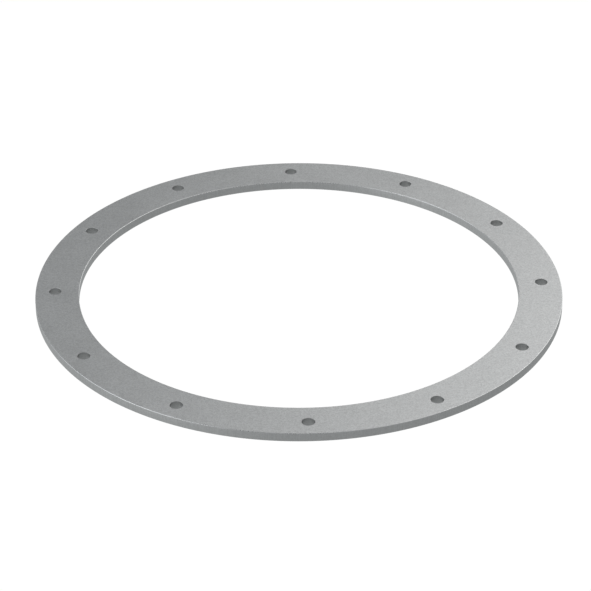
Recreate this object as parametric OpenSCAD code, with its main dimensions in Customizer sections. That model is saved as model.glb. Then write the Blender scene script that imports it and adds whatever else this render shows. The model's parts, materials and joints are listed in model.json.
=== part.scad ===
// Flat flange ring: one plate with a large round opening and a circle of plain bolt holes.
// The underside lies on Z = 0, the axis is +Z, and the holes straddle the X and Y axes.

/* [Ring] */
// Diameter of the round opening
bore_d = 404; // [200:1:1000]
// Radial width of the plate, from the opening to the outer edge
ring_w = 40; // [32:1:60]
// Thickness of the plate
plate_t = 8; // [5:0.5:20]

/* [Bolt holes] */
// Number of holes, evenly spaced
bolt_count = 12; // [4:1:32]
// Diameter of each hole
bolt_hole_d = 11.5; // [7:0.5:14]
// Distance from the outer edge to the hole centres
bolt_edge = 18; // [12:1:20]

/* [Edges] */
// Radius that rounds the four circular edges of the plate
edge_r = 0.5; // [0.2:0.1:1.5]
// Chamfer round both mouths of each hole
hole_chamfer = 0.2; // [0.1:0.1:1]

/* [Hidden] */
$fn = 180;
inner_r = bore_d / 2;
outer_r = inner_r + ring_w;
bolt_circle_r = outer_r - bolt_edge;
hole_r = bolt_hole_d / 2;
// Half a pitch, so that no hole lies on the X or Y axis
first_angle = 180 / bolt_count;
// Cutting tools run this far past the faces that they cut
past = 1;

// Cross-section of the plate, with all four corners rounded
module plate_section() {
    translate([inner_r, edge_r]) square([ring_w, plate_t - 2 * edge_r]);
    translate([inner_r + edge_r, 0]) square([ring_w - 2 * edge_r, plate_t]);
    for (x = [inner_r + edge_r, outer_r - edge_r], y = [edge_r, plate_t - edge_r])
        translate([x, y]) circle(r = edge_r, $fn = 32);
}

// Cone that breaks the edge of a hole whose mouth is at Z = 0 and opens upwards
module mouth_cone() {
    translate([0, 0, -hole_chamfer])
        cylinder(r1 = hole_r, r2 = hole_r + hole_chamfer + past, h = hole_chamfer + past, $fn = 64);
}

// Tool that drills one hole and breaks both its edges
module bolt_hole() {
    translate([0, 0, -past]) cylinder(r = hole_r, h = plate_t + 2 * past, $fn = 64);
    translate([0, 0, plate_t]) mouth_cone();
    mirror([0, 0, 1]) mouth_cone();
}

module flange_ring() {
    color("silver") difference() {
        rotate_extrude() plate_section();
        for (i = [0 : bolt_count - 1])
            rotate([0, 0, first_angle + i * 360 / bolt_count])
                translate([bolt_circle_r, 0, 0]) bolt_hole();
    }
}

flange_ring();
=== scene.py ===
import json
import math

import bmesh
import bpy
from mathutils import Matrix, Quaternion, Vector


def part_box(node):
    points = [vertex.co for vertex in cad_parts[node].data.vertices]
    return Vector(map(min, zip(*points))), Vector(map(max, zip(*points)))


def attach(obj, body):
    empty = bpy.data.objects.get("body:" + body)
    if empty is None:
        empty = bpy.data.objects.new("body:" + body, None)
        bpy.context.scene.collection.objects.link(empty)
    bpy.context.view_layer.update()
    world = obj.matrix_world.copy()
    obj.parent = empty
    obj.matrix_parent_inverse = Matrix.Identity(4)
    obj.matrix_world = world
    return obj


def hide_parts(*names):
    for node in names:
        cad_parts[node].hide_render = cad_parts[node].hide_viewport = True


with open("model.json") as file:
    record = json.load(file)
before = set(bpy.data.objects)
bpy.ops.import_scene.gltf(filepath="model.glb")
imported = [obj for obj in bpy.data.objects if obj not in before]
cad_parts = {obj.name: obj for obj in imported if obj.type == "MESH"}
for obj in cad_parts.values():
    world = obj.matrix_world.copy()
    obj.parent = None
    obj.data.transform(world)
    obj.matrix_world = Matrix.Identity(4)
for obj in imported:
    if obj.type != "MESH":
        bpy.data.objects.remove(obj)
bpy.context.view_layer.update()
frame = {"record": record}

# Sizes that the frame gives. Its mounts are in millimetres.
mounts = {mount["name"]: mount for mount in frame["record"]["mounts"]}
bore = mounts["bore"]["dims"]
bolts = mounts["bolt_circle"]["dims"]
low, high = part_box("flange_ring")
THICKNESS = high.z - low.z
OUTER_R = high.x
INNER_R = bore["r_mm"] / 1000
BOLT_CIRCLE_R = bolts["pcd_mm"] / 2 / 1000
HOLE_R = bolts["hole_r_mm"] / 1000
HOLE_COUNT = bolts["count"]
# The bore's straight wall ends where the rounded edges start
EDGE_R = (THICKNESS - bore["length_mm"] / 1000) / 2
# The same 45 degree chamfer as the CAD model has at its hole mouths
HOLE_CHAMFER = 0.0002

# Fineness of the mesh, and the angle from which an edge is shaded as a sharp one
RIM_SEGMENTS = 720
HOLE_SEGMENTS = 96
EDGE_STEPS = 8
SHARP_ANGLE = 30

# Zones of the plate, in the order of the mesh's material slots
ROLLED_FACE, CUT_WALL, ROUNDED_EDGE, DRILLED_WALL = range(4)

# Patterns that all its steels share: crystals, pits and large cloudy patches
CRYSTAL_SIZE = 0.0009
PIT_SIZE = 0.0005
CLOUD_SIZE = 0.035
# Share by which pits and clouds change the brightness, and what marks and clouds change the
# roughness by
PIT_SHADE = 0.04
CLOUD_SHADE = 0.02
ROUGHNESS_CHANGE = 0.03
# Height of the pits, as a share of the height of the marks
PIT_RELIEF = 0.5
# Most of a noise texture's values lie between these
NOISE_LOW = 0.25
NOISE_HIGH = 0.75

# Camera, seen from the centre of the ring's top face
TARGET = Vector((0, 0, THICKNESS))
CAMERA_AZIMUTH = 12.984
CAMERA_ELEVATION = 30.766
CAMERA_DISTANCE = 2.3954
CAMERA_LENS_MM = 158.38
CAMERA_ROLL = -0.13
# Where the camera's axis meets the top face, to the right of and beyond its centre
AIM_RIGHT = -0.0031
AIM_BEYOND = -0.0159

# Brightness of the room: below and above its horizon, and what its left and back add
ROOM_BELOW = 0.405
ROOM_ABOVE = 0.255
ROOM_LEFT = 0.13
ROOM_BACK = 0.065
# Half the width of the change at the horizon, as the sine of an elevation
HORIZON_BLUR = 0.05
# Width of every softbox, as a share of its distance
SOFTBOX_SPREAD = 0.75
# Colours of the room and the softboxes
ROOM_COLOUR = (0.98, 1.0, 1.0)
COOL = (0.98, 1.0, 1.04)
WARM = (1.0, 0.985, 0.965)
NEUTRAL = (1, 1, 1)

# Brightness of floor and backdrop as the camera sees them, just above pure white
WHITE = 1.02
FLOOR_SIZE = 40
# How far below the ring the floor lies, so that their faces don't coincide
FLOOR_GAP = 0.00005


# --- Camera and light -------------------------------------------------------------------------

def direction(azimuth, elevation):
    """Unit vector. Azimuth 0 points away from the camera and 90 to its right."""
    a = math.radians(azimuth - CAMERA_AZIMUTH)
    e = math.radians(elevation)
    return Vector((math.sin(a) * math.cos(e), math.cos(a) * math.cos(e), math.sin(e)))


def add_object(name, data):
    thing = bpy.data.objects.new(name, data)
    bpy.context.collection.objects.link(thing)
    return thing


def face_towards(thing, point):
    thing.rotation_mode = "QUATERNION"
    thing.rotation_quaternion = (point - thing.location).to_track_quat("-Z", "Y")


def make_camera():
    camera = add_object("camera", bpy.data.cameras.new("camera"))
    camera.data.lens = CAMERA_LENS_MM
    camera.location = TARGET + direction(180, CAMERA_ELEVATION) * CAMERA_DISTANCE
    face_towards(camera, TARGET + direction(90, 0) * AIM_RIGHT + direction(0, 0) * AIM_BEYOND)
    camera.rotation_quaternion @= Quaternion((0, 0, 1), math.radians(CAMERA_ROLL))
    bpy.context.scene.camera = camera


def make_softbox(name, azimuth, elevation, distance, strength, colour):
    """A square light that faces the ring. It looks as wide and as bright from any distance."""
    light = bpy.data.lights.new(name, "AREA")
    light.shape = "SQUARE"
    light.size = SOFTBOX_SPREAD * distance
    light.energy = strength * distance ** 2
    light.color = colour
    softbox = add_object(name, light)
    softbox.location = TARGET + direction(azimuth, elevation) * distance
    face_towards(softbox, TARGET)


# --- Shader nodes -----------------------------------------------------------------------------

class Nodes:
    """Adds nodes to a tree. An input is set to a value, or linked if that is a node's output."""

    def __init__(self, tree):
        self.tree = tree
        tree.nodes.clear()

    def add(self, kind, inputs=None, **settings):
        node = self.tree.nodes.new(kind)
        for key, value in settings.items():
            setattr(node, key, value)
        for key, value in (inputs or {}).items():
            if isinstance(value, bpy.types.NodeSocket):
                self.tree.links.new(value, node.inputs[key])
            else:
                node.inputs[key].default_value = value
        return node

    def math(self, operation, *values):
        inputs = dict(enumerate(values))
        return self.add("ShaderNodeMath", inputs, operation=operation).outputs[0]

    def dot(self, vector, axis):
        inputs = {0: vector, 1: axis}
        return self.add("ShaderNodeVectorMath", inputs, operation="DOT_PRODUCT").outputs["Value"]

    def noise(self, place, size, stretch=(1, 1, 1), detail=2):
        """Noise whose marks have this size, drawn out along X, Y and Z by stretch."""
        scale = [1 / (size * s) for s in stretch]
        moved = self.add("ShaderNodeMapping", {"Vector": place, "Scale": scale}).outputs["Vector"]
        inputs = {"Vector": moved, "Scale": 1, "Detail": detail}
        return self.add("ShaderNodeTexNoise", inputs).outputs["Fac"]

    def spread(self, noise, middle, reach):
        """Turns noise into values that lie mostly within reach of middle."""
        inputs = {
            "Value": noise, "From Min": NOISE_LOW, "From Max": NOISE_HIGH,
            "To Min": middle - reach, "To Max": middle + reach,
        }
        return self.add("ShaderNodeMapRange", inputs).outputs["Result"]


def make_world():
    """A soft room, brighter below, at its left and at its back. The camera sees white instead."""
    world = bpy.data.worlds.new("studio")
    bpy.context.scene.world = world
    world.use_nodes = True
    nodes = Nodes(world.node_tree)
    towards = nodes.add("ShaderNodeTexCoord").outputs["Generated"]
    axes = (Vector((0, 0, 1)), direction(270, 0), direction(0, 0))
    up, left, back = [nodes.dot(towards, axis) for axis in axes]
    level = nodes.add("ShaderNodeMapRange", {
        "Value": up, "From Min": -HORIZON_BLUR, "From Max": HORIZON_BLUR,
        "To Min": ROOM_BELOW, "To Max": ROOM_ABOVE,
    }).outputs["Result"]
    level = nodes.math("MULTIPLY_ADD", nodes.math("MAXIMUM", left, 0), ROOM_LEFT, level)
    level = nodes.math("MULTIPLY_ADD", nodes.math("MAXIMUM", back, 0), ROOM_BACK, level)
    lit = nodes.add("ShaderNodeBackground", {"Color": (*ROOM_COLOUR, 1), "Strength": level})
    seen = nodes.add("ShaderNodeBackground", {"Color": (1, 1, 1, 1), "Strength": WHITE})
    is_seen = nodes.add("ShaderNodeLightPath").outputs["Is Camera Ray"]
    mixed = nodes.add("ShaderNodeMixShader", {0: is_seen, 1: lit.outputs[0], 2: seen.outputs[0]})
    nodes.add("ShaderNodeOutputWorld", {"Surface": mixed.outputs[0]})


def make_steel(name, colour, roughness, grain, marks, mark_size, mark_stretch, relief):
    """Satin steel. The shares grain and marks say how much its crystals, and the marks left by
    its making, differ in brightness. mark_stretch draws the marks out along X, Y and Z, and
    relief is their height.
    """
    material = bpy.data.materials.new(name)
    material.use_nodes = True
    nodes = Nodes(material.node_tree)
    place = nodes.add("ShaderNodeTexCoord").outputs["Object"]
    cells = nodes.add("ShaderNodeTexVoronoi", {"Vector": place, "Scale": 1 / CRYSTAL_SIZE})
    crystal = nodes.add("ShaderNodeSeparateColor", {"Color": cells.outputs["Color"]}).outputs["Red"]
    mark = nodes.noise(place, mark_size, mark_stretch, detail=4)
    pits = nodes.noise(place, PIT_SIZE, detail=4)
    cloud = nodes.noise(place, CLOUD_SIZE)
    shade = nodes.math("MULTIPLY_ADD", crystal, 2 * grain, 1 - grain)
    shade = nodes.math("MULTIPLY", shade, nodes.spread(mark, 1, marks))
    shade = nodes.math("MULTIPLY", shade, nodes.spread(pits, 1, PIT_SHADE))
    shade = nodes.math("MULTIPLY", shade, nodes.spread(cloud, 1, CLOUD_SHADE))
    shaded = {0: colour, "Scale": shade}
    tint = nodes.add("ShaderNodeVectorMath", shaded, operation="SCALE").outputs[0]
    rough_marks = nodes.spread(mark, 0, ROUGHNESS_CHANGE)
    rough = nodes.math("ADD", rough_marks, nodes.spread(cloud, roughness, ROUGHNESS_CHANGE))
    height = nodes.math("MULTIPLY_ADD", pits, PIT_RELIEF, mark)
    bump = nodes.add("ShaderNodeBump", {"Height": height, "Strength": 1.0, "Distance": relief})
    surface = nodes.add("ShaderNodeBsdfPrincipled", {
        "Base Color": tint, "Metallic": 1.0, "Roughness": rough, "Normal": bump.outputs[0],
    })
    surface.inputs["Base Color"].default_value = (*colour, 1)
    surface.inputs["Roughness"].default_value = roughness
    nodes.add("ShaderNodeOutputMaterial", {"Surface": surface.outputs[0]})
    return material


def make_plate_steels():
    """The plate's steels, in the order of its zones."""
    return [
        # Rolling marks run along X
        make_steel(
            "rolled_face", colour=(0.597, 0.608, 0.615), roughness=0.45, grain=0.12,
            marks=0.03, mark_size=0.0003, mark_stretch=(60, 1, 1), relief=0.00001,
        ),
        # Striations run down the wall
        make_steel(
            "cut_wall", colour=(0.578, 0.588, 0.591), roughness=0.42, grain=0.06,
            marks=0.08, mark_size=0.0006, mark_stretch=(1, 1, 30), relief=0.00004,
        ),
        # Worn smoother, with faint scuffs. Its brighter colour is a painted highlight along the
        # edges
        make_steel(
            "rounded_edge", colour=(0.717, 0.728, 0.735), roughness=0.28, grain=0.04,
            marks=0.03, mark_size=0.0010, mark_stretch=(1, 1, 1), relief=0.000005,
        ),
        # Drill rings run round the hole
        make_steel(
            "drilled_wall", colour=(0.525, 0.534, 0.534), roughness=0.50, grain=0.04,
            marks=0.08, mark_size=0.0003, mark_stretch=(20, 20, 1), relief=0.00001,
        ),
    ]


# --- Floor ------------------------------------------------------------------------------------

def make_floor():
    """A plain pale floor. It glows, so it shows no shadow, and only the camera sees it."""
    mesh = bpy.data.meshes.new("floor")
    reach = FLOOR_SIZE / 2
    height = low.z - FLOOR_GAP
    sides = ((-1, -1), (1, -1), (1, 1), (-1, 1))
    corners = [(x * reach, y * reach, height) for x, y in sides]
    mesh.from_pydata(corners, [], [(0, 1, 2, 3)])
    floor = add_object("floor", mesh)
    material = bpy.data.materials.new("pale_floor")
    material.use_nodes = True
    nodes = Nodes(material.node_tree)
    glow = nodes.add("ShaderNodeEmission", {"Color": (1, 1, 1, 1), "Strength": WHITE})
    nodes.add("ShaderNodeOutputMaterial", {"Surface": glow.outputs[0]})
    mesh.materials.append(material)
    floor.visible_diffuse = False
    floor.visible_glossy = False
    floor.visible_shadow = False


# --- Ring -------------------------------------------------------------------------------------

def wall_path(radius, side, edge, steps):
    """(radius, height) of points down a wall. side is 1 for an outer wall, -1 for an opening's.
    Its edges are rounded by the radius edge in so many steps. One step makes a chamfer.
    """
    path = []
    for i in range(steps + 1):
        turn = math.pi / 2 * i / steps
        inset = edge * (1 - math.sin(turn))
        drop = edge * (1 - math.cos(turn))
        path.append((radius - side * inset, THICKNESS - drop))
    return path + [(r, THICKNESS - z) for r, z in reversed(path)]


def add_wall(plate, centre, path, segments, wall_zone, edge_zone):
    """Sweeps a path round centre. Its middle band is the straight wall, the others are edges."""
    angles = [2 * math.pi * i / segments for i in range(segments)]
    rays = [(math.cos(a), math.sin(a)) for a in angles]
    loops = []
    for radius, height in path:
        points = [(centre.x + radius * x, centre.y + radius * y, height) for x, y in rays]
        loops.append([plate.verts.new(point) for point in points])
    middle = len(path) // 2 - 1
    for band, (upper, lower) in enumerate(zip(loops, loops[1:])):
        for i in range(segments):
            face = plate.faces.new((upper[i - 1], lower[i - 1], lower[i], upper[i]))
            face.smooth = True
            face.material_index = wall_zone if band == middle else edge_zone


def fill_face(plate, height):
    """Closes the flat face at this height, round the rims and the holes that end there."""
    tolerance = EDGE_R / 100
    rims = [e for e in plate.edges if e.is_boundary and abs(e.verts[0].co.z - height) < tolerance]
    made = bmesh.ops.triangle_fill(plate, edges=rims, use_beauty=True, normal=(0, 0, 1))
    for face in made["geom"]:
        if isinstance(face, bmesh.types.BMFace):
            face.smooth = False
            face.material_index = ROLLED_FACE


def make_plate():
    plate = bmesh.new()
    for radius, side in ((OUTER_R, 1), (INNER_R, -1)):
        rim_path = wall_path(radius, side, EDGE_R, EDGE_STEPS)
        add_wall(plate, Vector(), rim_path, RIM_SEGMENTS, CUT_WALL, ROUNDED_EDGE)
    hole_path = wall_path(HOLE_R, -1, HOLE_CHAMFER, 1)
    for i in range(HOLE_COUNT):
        # Half a pitch off, so that the holes straddle the X and Y axes
        angle = 2 * math.pi * (i + 0.5) / HOLE_COUNT
        centre = Vector((math.cos(angle), math.sin(angle))) * BOLT_CIRCLE_R
        add_wall(plate, centre, hole_path, HOLE_SEGMENTS, DRILLED_WALL, DRILLED_WALL)
    fill_face(plate, THICKNESS)
    fill_face(plate, 0)
    bmesh.ops.recalc_face_normals(plate, faces=plate.faces)
    for edge in plate.edges:
        edge.smooth = edge.calc_face_angle() < math.radians(SHARP_ANGLE)
    mesh = bpy.data.meshes.new("plate_ring")
    plate.to_mesh(mesh)
    plate.free()
    for material in make_plate_steels():
        mesh.materials.append(material)
    ring = add_object("plate_ring", mesh)
    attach(ring, "root")
    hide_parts("flange_ring")


make_camera()
make_world()
# Behind the ring, as the camera sees it
make_softbox("key_softbox", azimuth=35, elevation=40, distance=2.4, strength=1.21, colour=WARM)
make_softbox("side_softbox", azimuth=60, elevation=50, distance=1.6, strength=0.9, colour=WARM)
make_softbox("back_softbox", azimuth=20, elevation=50, distance=1.2, strength=0.6, colour=WARM)
make_softbox("rim_softbox", azimuth=35, elevation=5, distance=4, strength=0.79, colour=WARM)
# At its left
make_softbox("left_softbox", azimuth=280, elevation=45, distance=1.6, strength=1.82, colour=COOL)
make_softbox("low_softbox", azimuth=235, elevation=10, distance=6, strength=1.6, colour=NEUTRAL)
# In front of it, for the views from behind
make_softbox("front_softbox", azimuth=150, elevation=25, distance=4, strength=0.4, colour=NEUTRAL)
make_floor()
make_plate()
bpy.context.scene.view_settings.view_transform = "Standard"
